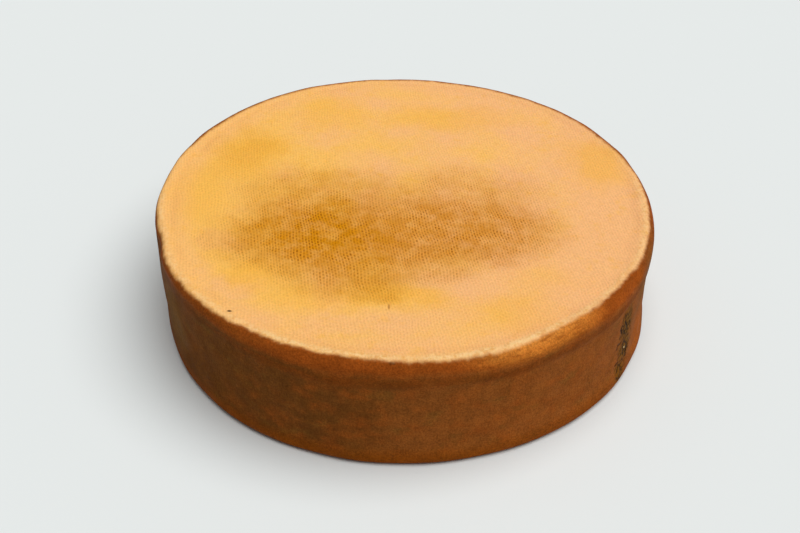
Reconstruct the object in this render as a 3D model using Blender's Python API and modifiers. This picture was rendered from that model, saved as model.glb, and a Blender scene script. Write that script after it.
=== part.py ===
"""A whole wheel of vacherin fribourgeois, lying on its lower face. It is one solid.

Its profile runs from the middle of the upper face to the worn crest of the rim, over
the rounded edge, round the upper bead, down the hollow heel that the hoop left, round
the lower bead and in along the flat lower face. The profile is turned about the
vertical axis. The turned form then settles, as a soft cheese does: it leans a little,
goes out of round, and its crest and its beads wander.

Metres, +Z up, origin at the middle of the lower face, front of the wheel towards -Y.
Angles are in radians, counted from +X, the right of the wheel. A wave round the wheel
is given by a seed and by the counts of swells that are added up in it.
"""

import math
import random

import bpy
import numpy as np

# The wheel as a whole.
DIAMETER = 0.345
HEIGHT = 0.0856
RADIUS = DIAMETER / 2
LEAN = -0.0027             # sideways shift of the upper face over the lower one

# Out of round: long swells of the outline, and finer ones of the heel.
TWO_SWELLS = 0.0005
THREE_SWELLS = 0.0011
THREE_SWELLS_AT = 0.18     # where the first of the three stands
FOUR_SWELLS = -0.0008      # below zero: a little square, with corners between the axes
HEEL_SWELLS = 0.0004
HEEL_WAVE = (12, (9, 13, 17, 22))
HEEL_TWIST = 6.0           # how far the fine swells slant, in radians for each metre of height
HEEL_FROM, HEEL_TO = 0.90, 0.98    # shares of the radius over which face turns to heel

# The rim: a worn crest on the upper face, and an edge rounded as a quarter ellipse.
CREST_RISE = 0.0011
CREST_WIDTH = 0.0085
EDGE_IN = 0.0050
EDGE_DROP = 0.0065
CREST_SETBACK = 0.0012     # the crest stands further in on the right than on the left
CREST_LUMPS = 0.0009       # how far the crest wanders in and out
LUMP_WAVE = (14, (7, 11, 16, 23, 31))
CREST_CHIPS = 0.0005       # how far it rises and dips
CHIP_WAVE = (15, (19, 27, 34, 41))
LUMPS_IN_CHIPS = 0.8       # where it stands out, it stands up as well
CREST_FROM, CREST_TO = 0.92, 0.97
CREST_LOW = HEIGHT - 1.2 * EDGE_DROP
CREST_HIGH = HEIGHT - 0.3 * EDGE_DROP

# The heel: beads above and below, and between them the hollow of the hoop.
UPPER_BEAD = 0.0165
LOWER_BEAD = 0.0120
BEAD_TURN = 0.0060         # height over which a bead runs out into the hollow
GROOVE = 0.0014            # depth of the hollow beside the beads
BELLY = 0.0005             # how much deeper the hollow is at half height
LEFT_FILLING = 0.85        # share of the hollow that is filled on the left
BEAD_SWELL = 0.0006        # the upper bead is fuller at the front right
BEAD_SWELL_AT = -0.9
BEAD_MIDDLE = HEIGHT - 0.6 * UPPER_BEAD
BEAD_SPREAD = 0.45 * UPPER_BEAD
BEAD_SWAY = 0.0030         # and its lower side hangs lower there
BEAD_WANDER = 0.0012
BEAD_WAVE = (13, (2, 3, 5, 8))
BEAD_SIDE = HEIGHT - UPPER_BEAD
BEAD_SIDE_SPREAD = 0.6 * UPPER_BEAD

# The flat that standing on its edge has left on the right, deeper at the foot.
FLAT_DEPTH = 0.0021
FLAT_SPREAD = 0.42
FLAT_AT_TOP = 0.55         # share of its depth that is left at the top
FLAT_FROM, FLAT_TO = 0.1 * HEIGHT, 0.6 * HEIGHT

# The dent in the rim on the left.
DENT_DEPTH = 0.0026
DENT_AT = math.pi + 0.31
DENT_SPREAD = 0.07
DENT_FOOT = HEIGHT - 1.6 * UPPER_BEAD
DENT_FULL = HEIGHT - 0.6 * UPPER_BEAD

# The upper face: it sags, and three long waves cross it.
FACE_SAG = 0.0009
FACE_SWELLS = 0.0007
FACE_WAVES = ((0.21, 0.3, 1.1), (0.17, 1.9, 0.4), (0.095, -0.6, 2.0))    # length, heading, start
FACE_FROM, FACE_TO = 0.90, 0.965
UPPER_HALF = (0.5 * HEIGHT, 0.9 * HEIGHT)

# How finely the form is faceted.
TURN_STEPS = 120
FACE_RINGS = 9
CREST_STEPS = 4
EDGE_STEPS = 5
HEEL_STEPS = 18
SAME_POINT = 0.00005       # points of the axis closer than this are one

RIND_ORANGE = (0.76, 0.37, 0.12, 1.0)
RIND_ROUGHNESS = 0.55
SHARP_EDGE = math.radians(50)


def smooth(low, high, value):
    """0 below low, 1 above high, and an S-shaped rise between them."""
    share = np.clip((value - low) / (high - low), 0.0, 1.0)
    return share * share * (3 - 2 * share)


def hump(value, middle, spread):
    """A bell curve, 1 high at its middle."""
    return np.exp(-(((value - middle) / spread) ** 2))


def ripple(seed, counts, angle):
    """A closed wave round the wheel, at most 1 high: a sine for each count of swells."""
    draw = random.Random(seed)
    total, whole = 0.0, 0.0
    for count in counts:
        start, weight = draw.uniform(0, math.tau), draw.uniform(0.5, 1.0)
        total = total + weight * np.sin(count * angle + start)
        whole += weight
    return total / whole


def heel_hollow(height):
    """How far the heel lies inside the beads at a height above the lower face."""
    above_lower = smooth(LOWER_BEAD - BEAD_TURN / 2, LOWER_BEAD + BEAD_TURN, height)
    below_upper = 1 - smooth(BEAD_SIDE - BEAD_TURN / 2, BEAD_SIDE + BEAD_TURN / 2, height)
    share = (height - LOWER_BEAD) / (BEAD_SIDE - LOWER_BEAD)
    belly = BELLY * np.clip(4 * share * (1 - share), 0, 1)
    return (GROOVE + belly) * above_lower * below_upper


def profile():
    """The (radius, height) points of the turned outline, from the top of the axis down."""
    shoulder = RADIUS - EDGE_IN
    crest_foot = shoulder - CREST_WIDTH
    face_height = HEIGHT - CREST_RISE
    face = [(crest_foot * n / FACE_RINGS, face_height) for n in range(FACE_RINGS)]
    crest = []
    for n in range(CREST_STEPS):
        share = n / CREST_STEPS
        rise = CREST_RISE * (1 - math.cos(math.pi * share)) / 2
        crest.append((crest_foot + CREST_WIDTH * share, face_height + rise))
    quarter = [math.pi / 2 * n / EDGE_STEPS for n in range(EDGE_STEPS)]
    upper_edge = [
        (shoulder + EDGE_IN * math.sin(a), HEIGHT - EDGE_DROP * (1 - math.cos(a))) for a in quarter
    ]
    heel = []
    for n in range(HEEL_STEPS + 1):
        height = HEIGHT - EDGE_DROP - (HEIGHT - 2 * EDGE_DROP) * n / HEEL_STEPS
        heel.append((RADIUS - float(heel_hollow(height)), height))
    lower_edge = [
        (shoulder + EDGE_IN * math.cos(a), EDGE_DROP * (1 - math.sin(a))) for a in quarter[1:]
    ]
    lower_face = [(shoulder, 0.0), (0.0, 0.0)]
    return face + crest + upper_edge + heel + lower_edge + lower_face


def on_heel(out):
    """0 over the faces and 1 on the heel, by the share of the radius."""
    return smooth(HEEL_FROM, HEEL_TO, out)


def outline_shift(angle, z, out):
    """How far the whole wheel is out of round: swells of the outline, and the flat."""
    swells = TWO_SWELLS * np.sin(2 * angle) + FOUR_SWELLS * np.cos(4 * angle)
    swells += THREE_SWELLS * np.cos(3 * (angle - THREE_SWELLS_AT))
    swells += HEEL_SWELLS * ripple(*HEEL_WAVE, angle + HEEL_TWIST * z) * on_heel(out)
    depth = 1 - (1 - FLAT_AT_TOP) * smooth(FLAT_FROM, FLAT_TO, z)
    return out**2 * (swells - FLAT_DEPTH * depth * hump(angle, 0, FLAT_SPREAD))


def dent(angle, z):
    """How far the upper bead and the crest are knocked in on the left."""
    around = hump(np.mod(angle, math.tau), DENT_AT, DENT_SPREAD)
    return DENT_DEPTH * around * smooth(DENT_FOOT, DENT_FULL, z)


def heel_shift(angle, z, out):
    """The filled hollow on the left, the full bead and the dent: outwards, upwards."""
    left = (1 - np.cos(angle)) / 2
    swell = np.cos(angle - BEAD_SWELL_AT)
    bead = hump(z, BEAD_MIDDLE, BEAD_SPREAD)
    outwards = LEFT_FILLING * left * heel_hollow(z) + BEAD_SWELL * swell * bead - dent(angle, z)
    below_edge = 1 - smooth(HEIGHT - EDGE_DROP, HEIGHT, z)
    side = hump(z, BEAD_SIDE, BEAD_SIDE_SPREAD) * below_edge
    upwards = side * (BEAD_WANDER * ripple(*BEAD_WAVE, angle) - BEAD_SWAY * swell)
    return outwards * on_heel(out), upwards * on_heel(out)


def crest_shift(angle, z, out):
    """The crest stands back on the right and is lumpy all the way round: outwards, upwards."""
    on_crest = smooth(CREST_FROM, CREST_TO, out) * smooth(CREST_LOW, CREST_HIGH, z)
    lumps = ripple(*LUMP_WAVE, angle)
    chips = ripple(*CHIP_WAVE, angle)
    outwards = CREST_LUMPS * lumps - CREST_SETBACK * (1 + np.cos(angle)) / 2
    upwards = CREST_CHIPS * (LUMPS_IN_CHIPS * lumps + chips - 1)
    return outwards * on_crest, upwards * on_crest


def face_lift(x, y, z, out):
    """The upper face sags towards its middle and carries a few long swells."""
    on_face = smooth(*UPPER_HALF, z) * (1 - smooth(FACE_FROM, FACE_TO, out))
    swells = 0.0
    for length, heading, start in FACE_WAVES:
        along = x * math.cos(heading) + y * math.sin(heading)
        swells = swells + np.sin(math.tau * along / length + start) / len(FACE_WAVES)
    return on_face * (FACE_SWELLS * swells - FACE_SAG * (1 - out**2))


def settle(points):
    """Moves the turned points, an array of x, y and z, to where the real wheel has them."""
    x, y, z = points.T
    angle = np.arctan2(y, x)
    radius = np.hypot(x, y)
    out = radius / RADIUS
    heel_out, heel_up = heel_shift(angle, z, out)
    crest_out, crest_up = crest_shift(angle, z, out)
    outwards = outline_shift(angle, z, out) + heel_out + crest_out
    upwards = face_lift(x, y, z, out) + heel_up + crest_up
    grown = 1 + outwards / np.maximum(radius, SAME_POINT)
    lean = LEAN * (z / HEIGHT - 0.5)
    moved = np.stack([x * grown + lean, y * grown, z + upwards], axis=1)
    middle = (moved.min(axis=0) + moved.max(axis=0)) / 2
    moved[:, :2] -= middle[:2]
    return moved


def rind_material():
    material = bpy.data.materials.new("rind")
    material.use_nodes = True
    shader = material.node_tree.nodes["Principled BSDF"]
    shader.inputs["Base Color"].default_value = RIND_ORANGE
    shader.inputs["Roughness"].default_value = RIND_ROUGHNESS
    shader.inputs["Metallic"].default_value = 0.0
    material.diffuse_color = RIND_ORANGE
    return material


def turned_wheel(collection):
    """The mesh of the profile, a chain of edges, turned about Z by a Screw modifier."""
    points = [(radius, 0.0, height) for radius, height in profile()]
    chain = [(n, n + 1) for n in range(len(points) - 1)]
    outline = bpy.data.meshes.new("wheel_profile")
    outline.from_pydata(points, chain, [])
    guide = bpy.data.objects.new("wheel_profile", outline)
    collection.objects.link(guide)
    turn = guide.modifiers.new("turn", "SCREW")
    turn.steps = TURN_STEPS
    turn.render_steps = TURN_STEPS
    turn.use_merge_vertices = True
    turn.merge_threshold = SAME_POINT
    evaluated = guide.evaluated_get(bpy.context.evaluated_depsgraph_get())
    turned = bpy.data.meshes.new_from_object(evaluated)
    bpy.data.objects.remove(guide)
    return turned


def settled_wheel(collection):
    """The turned form, settled, in its rind."""
    mesh = turned_wheel(collection)
    points = np.empty(len(mesh.vertices) * 3, dtype=np.float32)
    mesh.vertices.foreach_get("co", points)
    moved = settle(points.reshape(-1, 3).astype(float))
    mesh.vertices.foreach_set("co", moved.astype(np.float32).ravel())
    mesh.update()
    mesh.name = "wheel"
    mesh.shade_smooth()
    mesh.set_sharp_from_angle(angle=SHARP_EDGE)
    mesh.materials.append(rind_material())
    wheel = bpy.data.objects.new("wheel", mesh)
    collection.objects.link(wheel)


def main():
    for thing in list(bpy.data.objects):
        bpy.data.objects.remove(thing)
    collection = bpy.data.collections.new("vacherin_fribourgeois")
    bpy.context.scene.collection.children.link(collection)
    settled_wheel(collection)


main()
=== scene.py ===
"""The looks of a whole wheel of vacherin fribourgeois, lying on its lower face.

The wheel is one closed skin, worked out on a grid of stations down its profile and of
angles round it, and dressed in one rind: cloth-printed faces, a worn pale crest on the
rim, an orange bead, a brown heel and a redder foot.

Metres, +Z up, front of the wheel towards -Y. Angles are in radians, counted from +X.
"""

import math
import random

import bpy
import numpy as np
from mathutils import Euler, Matrix, Vector


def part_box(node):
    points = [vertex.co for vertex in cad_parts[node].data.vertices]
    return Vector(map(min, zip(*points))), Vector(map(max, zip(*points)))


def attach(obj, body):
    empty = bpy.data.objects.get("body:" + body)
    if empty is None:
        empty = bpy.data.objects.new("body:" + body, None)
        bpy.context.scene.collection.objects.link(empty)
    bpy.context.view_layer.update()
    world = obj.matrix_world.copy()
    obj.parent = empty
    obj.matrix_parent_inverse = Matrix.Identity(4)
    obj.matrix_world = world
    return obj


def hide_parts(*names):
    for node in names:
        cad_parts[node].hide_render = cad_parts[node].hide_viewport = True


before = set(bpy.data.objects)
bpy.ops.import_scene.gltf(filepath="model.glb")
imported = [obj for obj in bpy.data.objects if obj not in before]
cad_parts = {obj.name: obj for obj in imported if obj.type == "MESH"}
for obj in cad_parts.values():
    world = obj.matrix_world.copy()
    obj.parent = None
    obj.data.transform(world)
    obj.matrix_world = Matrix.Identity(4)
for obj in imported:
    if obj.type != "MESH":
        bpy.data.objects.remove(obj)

# The settled form of the wheel.
HEIGHT = 0.0856
RADIUS = 0.1725
LEAN = -0.0027
TWO_SWELLS = 0.0005
THREE_SWELLS = 0.0011
THREE_SWELLS_AT = 0.18
FOUR_SWELLS = -0.0008
HEEL_SWELLS = 0.0004
HEEL_WAVE = (12, (9, 13, 17, 22))
HEEL_TWIST = 6.0
HEEL_FROM, HEEL_TO = 0.90, 0.98
CREST_RISE = 0.0011
CREST_WIDTH = 0.0085
EDGE_IN = 0.0050
EDGE_DROP = 0.0065
CREST_SETBACK = 0.0012
CREST_LUMPS = 0.0009
LUMP_WAVE = (14, (7, 11, 16, 23, 31))
CREST_CHIPS = 0.0005
CHIP_WAVE = (15, (19, 27, 34, 41))
LUMPS_IN_CHIPS = 0.8
CREST_FROM, CREST_TO = 0.92, 0.97
WORN_AT_BACK = 0.25
WORN_BACK_TO_FRONT = (-0.55, 0.10)    # sine of the angle towards the front
CREST_LOW = HEIGHT - 1.2 * EDGE_DROP
CREST_HIGH = HEIGHT - 0.3 * EDGE_DROP
UPPER_BEAD = 0.0165
LOWER_BEAD = 0.0120
BEAD_TURN = 0.0060
GROOVE = 0.0014
BELLY = 0.0005
LEFT_FILLING = 0.85
BEAD_SWELL = 0.0006
BEAD_SWELL_AT = -0.9
BEAD_MIDDLE = HEIGHT - 0.6 * UPPER_BEAD
BEAD_SPREAD = 0.45 * UPPER_BEAD
BEAD_SWAY = 0.0030
BEAD_WANDER = 0.0012
BEAD_WAVE = (13, (2, 3, 5, 8))
BEAD_SIDE = HEIGHT - UPPER_BEAD
BEAD_SIDE_SPREAD = 0.6 * UPPER_BEAD
FLAT_DEPTH = 0.0021
FLAT_SPREAD = 0.42
FLAT_AT_TOP = 0.55
FLAT_FROM, FLAT_TO = 0.1 * HEIGHT, 0.6 * HEIGHT
DENT_DEPTH = 0.0026
DENT_AT = math.pi + 0.31
DENT_SPREAD = 0.07
DENT_FOOT = HEIGHT - 1.6 * UPPER_BEAD
DENT_FULL = HEIGHT - 0.6 * UPPER_BEAD
FACE_SAG = 0.0009
FACE_SWELLS = 0.0007
FACE_WAVES = ((0.21, 0.3, 1.1), (0.17, 1.9, 0.4), (0.095, -0.6, 2.0))    # length, heading, start
FACE_FROM, FACE_TO = 0.90, 0.965
UPPER_HALF = (0.5 * HEIGHT, 0.9 * HEIGHT)

# How finely the skin is laid out: angles, and stations for each stretch of the profile.
ANGLES = 900
FACE_RINGS = 27
CREST_STEPS = 14
EDGE_STEPS = 12
HEEL_STEPS = 36
FOOT_STEPS = 8
BASE_RINGS = 4

# Fine relief of the skin: seed, length of a lump along and across, height.
CREST_RELIEF = ((31, 0.0070, 0.0040, 0.00030), (32, 0.0034, 0.0024, 0.00018))
CREST_RELIEF_AT, CREST_RELIEF_SPREAD = -0.0005, 0.0045
HEEL_RELIEF = ((33, 0.045, 0.016, 0.00022), (34, 0.012, 0.009, 0.00010))
HEEL_RELIEF_FROM, HEEL_RELIEF_TO = 0.006, 0.012
HEEL_RELIEF_END = (0.264, 0.33)        # shares of the whole profile
INSIDE = 0.00003           # how far the skin keeps inside the frame's box

# The cloth print. The threads round the heel are a whole number, so that they close.
THREAD_PITCH = 0.0020
PIT_SPACING = 1.6          # along a thread, in thread pitches
FACE_HEADING = math.radians(-9)
HEEL_THREADS = 540
ROUND_HEEL = HEEL_THREADS * THREAD_PITCH / math.tau    # metres round the heel for each radian
WAVER_SIZE, WAVER_DETAIL = 0.028, 3.0
FACE_WAVER, HEEL_WAVER = 0.006, 0.010
PIT_ACROSS = (0.5, -0.7)               # where the steep cosines start and end
PIT_ALONG = (0.95, -0.1)
PIT_DARKNESS = (1.0, 0.0, 0.30, 1.0)
SPECK_RIDGE = (-0.2, 0.8, 0.4, 1.0)


def screen(red, green, blue):
    """A colour given as a screen shows it, from 0 to 255, as the shader's linear light."""
    parts = [value / 255 for value in (red, green, blue)]
    return tuple(p / 12.92 if p <= 0.04045 else ((p + 0.055) / 1.055) ** 2.4 for p in parts) + (1.0,)


# Colours of the upper face.
FACE_YELLOW = screen(251, 192, 98)
FACE_PINK = screen(249, 187, 126)
FACE_OCHRE = screen(247, 180, 62)
SAFFRON = screen(202, 128, 2)
UMBER = screen(207, 134, 43)
STROKE_BROWN = screen(150, 92, 40)
PIT_SHADE = (0.55, 0.45, 0.28, 1.0)
CREST_FOOT_SHADE = (0.88, 0.82, 0.84, 1.0)
SPECK_CREAM = screen(255, 222, 160)

# Colours of the rim and of the heel.
CREST_CREAM = screen(246, 202, 140)
CREST_OCHRE = screen(228, 170, 100)
# Pale orange: a painted highlight along the top of the bead on the right, and also the colour of the
# scar's flakes.
BEAD_TOP = screen(210, 132, 54)
BEAD_BROWN = screen(154, 76, 23)
# Orange of the bead on the right: partly its own colour, partly painted light from the right.
LIT_BEAD_ORANGE = screen(204, 120, 44)
STREAK_RED = screen(146, 70, 20)
# Dark red brown: painted shade in the groove below the bead and painted shadow under the crest's
# lip.
CREASE_SHADE_RED = screen(132, 66, 16)
HEEL_BROWN = screen(147, 83, 33)
HEEL_LEFT = screen(110, 65, 24)
# Grey brown of a painted sheen: the reflection of the pale room on the left of the heel.
SHEEN_GREY = screen(120, 84, 38)
HEEL_RED = screen(157, 79, 26)
HEEL_OLIVE = screen(116, 81, 32)
# Lighter orange of painted light glowing on the lower right of the heel.
GLOW_ORANGE = screen(176, 90, 20)
FOOT_BROWN = screen(140, 71, 12)
DASH_SHADE = (0.52, 0.46, 0.36, 1.0)
SCAR_OLIVE = screen(112, 76, 10)
# Near black: painted shade in the pin hole, the nick, and the scar's pocks and cracks.
HOLLOW_SHADE = screen(34, 20, 6)

# Blotches on the upper face: middle, reach along X and Y, strength.
SAFFRON_SPOTS = (
    ((-0.062, -0.040), (0.082, 0.056), 0.95),
    ((-0.044, -0.072), (0.062, 0.052), 0.70),
    ((-0.100, -0.054), (0.038, 0.036), 0.40),
    ((-0.060, 0.006), (0.074, 0.046), 0.50),
    ((-0.120, 0.062), (0.036, 0.046), 0.15),
    ((-0.020, -0.100), (0.036, 0.022), 0.40),
)
UMBER_SPOTS = (
    ((0.016, -0.036), (0.080, 0.060), 0.90),
    ((0.062, -0.034), (0.060, 0.052), 0.75),
    ((0.004, -0.066), (0.060, 0.044), 0.40),
    ((0.036, 0.006), (0.086, 0.048), 0.45),
)
OCHRE_SPOTS = (
    ((-0.112, 0.058), (0.036, 0.048), 0.8),
    ((0.030, 0.110), (0.070, 0.030), 0.5),
    ((-0.060, 0.116), (0.040, 0.040), 0.4),
    ((0.136, 0.050), (0.032, 0.050), 0.7),
    ((0.000, -0.106), (0.046, 0.018), 0.8),
    ((0.066, -0.122), (0.046, 0.026), 0.5),
    ((-0.098, -0.088), (0.034, 0.024), 0.7),
    ((-0.050, -0.110), (0.050, 0.020), 0.5),
    ((-0.142, 0.010), (0.030, 0.070), 0.45),
    ((0.090, -0.088), (0.040, 0.026), 0.3),
)
PINK_SPOTS = (
    ((-0.112, -0.104), (0.030, 0.018), 0.9),
    ((0.136, -0.020), (0.030, 0.050), 0.9),
    ((0.050, -0.106), (0.030, 0.018), 0.6),
    ((-0.040, -0.136), (0.050, 0.018), 0.8),
    ((-0.122, -0.052), (0.020, 0.018), 0.5),
    ((0.092, -0.004), (0.030, 0.020), 0.5),
)

# Single marks: middle, reach along X, Y and Z, strength.
# The pin hole and the nick are painted dark as shade.
PIN_HOLE = ((-0.1070, -0.1245, 0.0850), (0.0022, 0.0013, 0.02), 1.0)
STROKE = ((-0.0100, -0.1170, 0.0850), (0.0011, 0.0038, 0.02), 0.6)
NICK = ((-0.0075, -0.1700, 0.0842), (0.0030, 0.0060, 0.0010), 0.45)
# Painted light: the bead brighter and more orange on the front right, where the light falls.
BEAD_PAINTED_LIGHT = ((0.0850, -0.1480, 0.0830), (0.062, 0.060, 0.020), 1.0)
# A painted sheen: a grey reflection band on the left of the heel.
PAINTED_SHEEN = ((-0.1500, -0.0800, 0.0450), (0.024, 0.030, 0.036), 0.7)
# Painted light: lighter orange glows on the lower right of the heel, on the side the light comes
# from.
PAINTED_GLOWS = (
    ((0.1600, -0.0620, 0.0200), (0.018, 0.026, 0.030), 0.7),
    ((0.1450, -0.0960, 0.0040), (0.016, 0.018, 0.012), 0.6),
)
HEEL_SHADE = ((0.1640, -0.0520, 0.0640), (0.024, 0.040, 0.034), 0.6)

# Where the upper face ends: below the shoulder, but above it in two places, and lower on the left.
RIND_EDGE = 0.0026
EDGE_HIGH = (
    ((0.121, -0.121, 0.085), (0.075, 0.075, 0.075), -0.0030),
    ((-0.062, -0.160, 0.085), (0.095, 0.095, 0.095), -0.0020),
)

# Soft noises of the rind: size of a patch in metres, detail, roughness.
RAGGED_NOISE = (0.006, 3.0, 0.6)
DRIFT_NOISE = (0.050, 2.0)
RUBBED_NOISE = (0.011, 3.0, 0.6)
BROAD_NOISE = (0.040, 3.0)
FLECK_NOISE = (0.009, 4.0, 0.6)
STAIN_NOISE = (0.014, 4.0, 0.65)
CREST_FOOT_NOISE = (0.024, 3.0)
PRINT_NOISE = (0.012, 3.0)
FACE_GRAIN = (0.0018, 4.0, 0.70)
BLOTCH_NOISE = (0.016, 4.0, 0.6)
OLIVE_NOISE = (0.022, 3.0, 0.6)
STREAK_NOISE = (0.0022, 4.0, 0.65)
UPRIGHT_NOISE = (0.0014, 2.0, 0.6)
LEVEL_NOISE = (0.0045, 3.0, 0.6)
HEEL_GRAIN = (0.0011, 3.0, 0.7)
HEEL_CLOUDS = (0.0090, 3.0, 0.6)
CREST_NOISE = (0.0032, 4.0, 0.65)
SCAR_NOISE = (0.0035, 3.0, 0.6)
FLAKE_NOISE = (0.0016, 3.0, 0.7)
POCK_NOISE = (0.0020, 2.0, 0.6)
CRAZING_NOISE = (0.007, 2.0)
CRACK_NOISE = (0.0022, 2.0)
CRUMB_NOISE = (0.0040, 4.0, 0.6)
SKIN_NOISE = (0.0012, 3.0, 0.6)
MOIST_NOISE = (0.020, 3.0)

# Where a spot and a stroke fall off, in shares of their reach or width.
SPOT_FALL = (1.0, 0.25)
STROKE_FALL = (1.0, 0.3)

# Swirls that tear an outline: size and reach in metres.
FACE_SWIRLS = ((0.030, 0.018), (0.008, 0.004))
PAINTED_SHEEN_SWIRL = (0.02, 0.008)
GLOW_SWIRL = (0.02, 0.006)
SCAR_SWIRL = (0.010, 0.0030)
CRACK_SWIRLS = ((0.0060, 0.0018), (0.0014, 0.0005))

# Where a mask of the zones rises: from, to, and its values there if not 0 and 1. Side and
# front are shares of the radius, and the others metres down the profile.
LEFT_SIDE = (-0.30, -0.70)
EDGE_LEFT = (-0.85, -0.99, 0.0, 0.0014)
EDGE_BACK = (-0.10, -0.50, 0.0, -0.0030)
RAGGED_BY = 0.0040
CREST_INNER = (-0.0076, -0.0026)
CREST_OUTER = (0.0012, -0.0026)
CREST_FRONT = (-0.45, 0.05, 0.12, 1.0)
CREST_RIGHT = (0.25, 0.75, 1.0, 0.65)
CREST_LEFT = (-0.45, -0.85, 1.0, 0.65)
CREST_RUBBED = (0.30, 0.56, 0.45, 1.0)
HEEL_TOP = (-0.0024, 0.0020)
LOWER_FACE = (0.0895, 0.0925)

# The same for the upper face: of the side and the profile in metres, or of a noise.
PINKER_SIDE, PINKER_DRIFT = (-0.15, 0.15), 0.50
PINK_RIM, PINK_RIM_SHARE = (-0.026, -0.012), 0.6
FLECKS = (0.52, 0.78, 0.0, 0.5)
SPOT_SHARE = 0.8
UNEVEN_STAIN = (0.30, 0.62, 0.60, 1.0)
CREST_FOOT, CREST_FOOT_END = (-0.0125, -0.0085), (-0.0040, -0.0070)
CREST_FOOT_DRIFT = 0.012
CREST_FOOT_PATCHES = (0.36, 0.60, 0.0, 0.32)
PRINT_PATCHES = (0.34, 0.66, 0.45, 1.0)
PIT_DEPTH_STAINED, PIT_DEPTH = 0.90, 0.15
SPECK_GAIN_STAINED, SPECK_GAIN = 0.16, 0.04
FACE_MOTTLING = (0.30, 0.70, 0.88, 1.02)

# The same for the heel.
BAND_DRIFT, SIDE_DRIFT = 0.008, 0.8
HEEL_TO_LEFT = (0.45, -0.45)
BLOTCH_STRETCH, BLOTCHES = (1, 1, 1.6), (0.40, 0.74)
BLOTCHES_BY_SIDE = (-0.85, -0.35, 0.12, 0.6)
OLIVE_STRETCH, OLIVES, OLIVE_SHARE = (1, 1, 2.2), (0.54, 0.72), 0.4
GROOVE_TOP, GROOVE_END = (0.0110, 0.0145), (0.0225, 0.0165)
GROOVE_BY_SIDE = (0.0, 1.0, 0.5, 0.1)
# Painted shade: how much darker the groove is made.
GROOVE_PAINTED_SHADE = -0.12
BEAD_END, BEAD_BY_SIDE = (0.0130, 0.0075), (0.0, 1.0, 1.0, 0.6)
# Where the painted light on the bead ends, and the painted highlight along its top.
PAINTED_LIGHT_END = (0.0125, 0.0070)
LIT_BEAD_TOP_END, LIT_BEAD_TOP_SHARE = (0.0066, 0.0010), 0.9
# Where the painted shadow under the crest's lip ends, and how strong it is.
UNDER_CREST_SHADOW_END, UNDER_CREST_SHADOW_SHARE = (0.0060, 0.0010), 0.4
STREAK_PULL, STREAKS = 0.18, (0.46, 0.68)
STREAK_END, STREAK_SHARE = (0.0200, 0.0120), 0.5
FOOT_TOP = (0.0720, 0.0830, 0.0, 0.8)
UPRIGHT_STRETCH, UPRIGHT_DASHES = (1, 1, 0.35), (0.50, 0.70)
LEVEL_STRETCH, LEVEL_DASHES = (1, 1, 3.0), (0.52, 0.72, 0.0, 0.8)
PRINT_DASHES, DASH_SHARE = 0.25, 0.34
HEEL_MOTTLING = (0.28, 0.72, 0.74, 1.26)
HEEL_CLOUDING = (0.30, 0.70, 0.88, 1.10)

# The same for the crest and the scar.
CREST_DIPS = (0.40, 0.66)
SCAR_MOTTLING = (0.35, 0.62, 0.70, 1.0)
SCAR_FLAKES, FLAKE_SHARE = (0.56, 0.72), 0.30
SCAR_POCKS = (0.44, 0.34, 0.0, 0.6)
CRAZING_CELL = 0.0060
CRAZING_LINE = (0.22, 0.04)            # from a cell's edge, in cells
CRAZING_PATCHES = (0.36, 0.54, 0.0, 1.1)
CRACK_GAPS = (0.34, 0.52, 0.45, 1.0)
CRACK_WIDER = 1.9

# Relief in millimetres, and roughness.
FACE_PRINT_HEIGHT, HEEL_PRINT_HEIGHT = 0.12, 0.04
CRUMB_HEIGHT, GRAIN_HEIGHT, CRACK_HEIGHT = 0.45, 0.14, -0.8
ROUGHNESS = (0.35, 0.65, 0.58, 0.72)
CREST_ROUGHER = 0.12

# The olive scar on the right: patches by angle in degrees and height in millimetres, with
# their reach and strength. Its cracks: both ends, half width in millimetres, darkness.
SCAR_PATCHES = (
    ((-31.6, 50.0), (4.4, 22.0), 0.9),
    ((-31.0, 28.0), (4.2, 18.0), 0.9),
    ((-33.0, 12.0), (3.6, 12.0), 0.7),
)
SCAR_CRACKS = (
    ((-32.3, 59.0), (-33.0, 57.0), 0.9, 0.7),
    ((-32.6, 54.0), (-32.1, 50.0), 0.7, 1.0),
    ((-32.1, 50.0), (-30.8, 43.5), 0.7, 0.9),
    ((-33.0, 50.5), (-34.3, 53.0), 0.6, 0.6),
    ((-34.3, 53.0), (-34.6, 51.0), 0.8, 0.9),
    ((-34.6, 51.0), (-33.8, 45.5), 0.7, 0.9),
    ((-33.8, 45.5), (-34.4, 43.0), 0.6, 0.6),
    ((-30.9, 43.0), (-31.4, 40.0), 0.8, 0.7),
    ((-32.5, 40.5), (-33.3, 37.5), 0.6, 0.6),
    ((-33.3, 37.5), (-35.0, 38.0), 0.7, 0.8),
    ((-35.0, 38.0), (-35.2, 34.8), 0.7, 0.8),
    ((-31.8, 34.0), (-31.2, 27.0), 0.6, 0.6),
    ((-29.3, 25.2), (-29.9, 22.0), 1.4, 1.0),
    ((-29.9, 22.5), (-29.6, 18.5), 0.9, 1.0),
    ((-31.3, 18.5), (-33.7, 21.0), 0.6, 0.6),
    ((-33.7, 21.0), (-35.1, 20.6), 0.9, 0.8),
    ((-29.1, 48.0), (-29.1, 45.0), 0.8, 0.5),
    ((-28.2, 38.5), (-28.2, 37.5), 0.9, 0.5),
)
SCAR_SPECK = ((-30.7, 27.4), (-30.8, 28.6), 0.9, 1.0)

# The camera: how far it looks down, how far it is, its lens in pixels of an 800 wide picture.
CAMERA_DOWN = math.radians(37.64)
CAMERA_AWAY = 0.8693
CAMERA_LENS = 1206.1
CAMERA_ROLL = math.radians(0.96)
CAMERA_AIM = (-0.0036, 0.0, 0.0250)
PICTURE_WIDTH = 800
SENSOR = 36.0

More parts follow.
